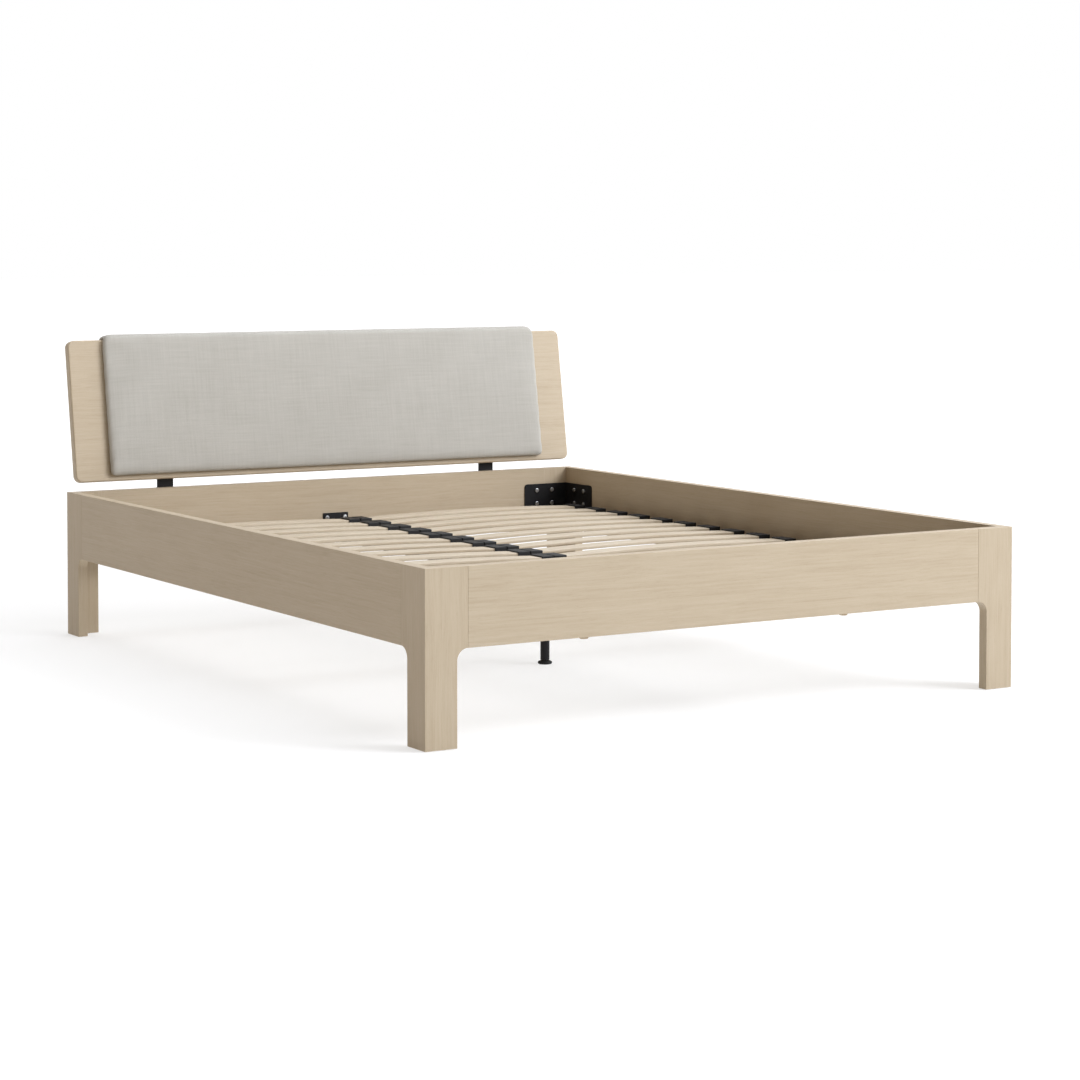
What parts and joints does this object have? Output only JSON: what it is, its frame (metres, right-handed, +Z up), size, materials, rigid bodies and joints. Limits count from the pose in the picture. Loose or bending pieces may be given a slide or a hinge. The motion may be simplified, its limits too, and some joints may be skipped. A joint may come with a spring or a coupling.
{
  "type": "bed frame",
  "caption": "Low double bed frame in pale wood with L-shaped corner legs, slatted bases, a centre leg and a leaning headboard with a slip-over fabric pad.",
  "frame": {"origin": "on the floor, at the middle of the overall width and length", "axes": "+X across the bed to the right as seen from the foot, +Y from the foot end to the headboard, +Z up"},
  "size_m": [1.72, 2.237, 0.8752],
  "materials": {
    "frame_wood": "pale matt-lacquered, fine straight grain",
    "support_wood": "planed raw softwood",
    "slat_birch": "bowed birch plywood, sealed",
    "black_steel": "black powder coat, satin",
    "zinc_steel": "bright zinc plate",
    "black_nylon": "moulded, matt",
    "grey_nylon": "moulded, matt",
    "pad_fabric": "warm light-grey linen-look weave"
  },
  "bodies": {
    "frame": {"beam_bolts": "zinc_steel", "beam_cradle_foot": "black_steel", "beam_cradle_head": "black_steel", "centre_beam": "black_steel", "centre_leg_plate": "black_steel", "centre_leg_tube": "black_steel", "corner_bolts": "zinc_steel", "corner_bracket_foot_left": "black_steel", "corner_bracket_foot_right": "black_steel", "corner_bracket_head_left": "black_steel", "corner_bracket_head_right": "black_steel", "foot_ledge_left": "support_wood", "foot_ledge_right": "support_wood", "foot_rail": "frame_wood", "head_ledge_left": "support_wood", "head_ledge_right": "support_wood", "head_rail": "frame_wood", "headboard_bolts": "zinc_steel", "headboard_bracket_left": "black_steel", "headboard_bracket_right": "black_steel", "headboard_panel": "frame_wood", "ledge_screws": "zinc_steel", "leg_foot_left_end_board": "frame_wood", "leg_foot_left_side_board": "frame_wood", "leg_foot_right_end_board": "frame_wood", "leg_foot_right_side_board": "frame_wood", "leg_glides": "grey_nylon", "leg_head_left_end_board": "frame_wood", "leg_head_left_side_board": "frame_wood", "leg_head_right_end_board": "frame_wood", "leg_head_right_side_board": "frame_wood", "leg_thread_bush": "black_nylon", "side_ledge_left": "support_wood", "side_ledge_right": "support_wood", "side_rail_left": "frame_wood", "side_rail_right": "frame_wood", "threaded_inserts": "zinc_steel"},
    "headboard_pad": {"headboard_pad": "pad_fabric"},
    "left_base": {"left_base_screws": "zinc_steel", "left_foot_cross_rail": "support_wood", "left_head_cross_rail": "support_wood", "left_inner_stringer": "support_wood", "left_locating_peg": "support_wood", "left_middle_cross_rail": "support_wood", "left_outer_stringer": "support_wood", "left_slat_holders": "black_nylon", "left_slats": "slat_birch"},
    "right_base": {"right_base_screws": "zinc_steel", "right_foot_cross_rail": "support_wood", "right_head_cross_rail": "support_wood", "right_inner_stringer": "support_wood", "right_locating_peg": "support_wood", "right_middle_cross_rail": "support_wood", "right_outer_stringer": "support_wood", "right_slat_holders": "black_nylon", "right_slats": "slat_birch"},
    "levelling_disc": {"levelling_disc": "black_nylon"},
    "levelling_spindle": {"levelling_spindle": "zinc_steel"}
  },
  "joints": [
    {"name": "pad_lift", "type": "slide", "parent": "frame", "child": "headboard_pad", "axis": [0, 0.1564, 0.9877], "range_m": [0, 0.15]},
    {"name": "left_base_lift", "type": "slide", "parent": "frame", "child": "left_base", "axis": [0, 0, 1], "range_m": [0, 0.22]},
    {"name": "right_base_lift", "type": "slide", "parent": "frame", "child": "right_base", "axis": [0, 0, 1], "range_m": [0, 0.22]},
    {"name": "foot_adjust", "type": "slide", "parent": "frame", "child": "levelling_disc", "axis": [0, 0, 1], "range_m": [-0.0121, 0.0016]},
    {"name": "spindle_turn", "type": "hinge", "parent": "levelling_disc", "child": "levelling_spindle", "pos_m": [0.0385, -0.1625, 0.003], "axis": [0, 0, 1], "range_deg": [-2880, 360]}
  ],
  "couplings": [
    {"joint": "foot_adjust", "follows": "spindle_turn", "m_per_rad": 0.00023873}
  ]
}
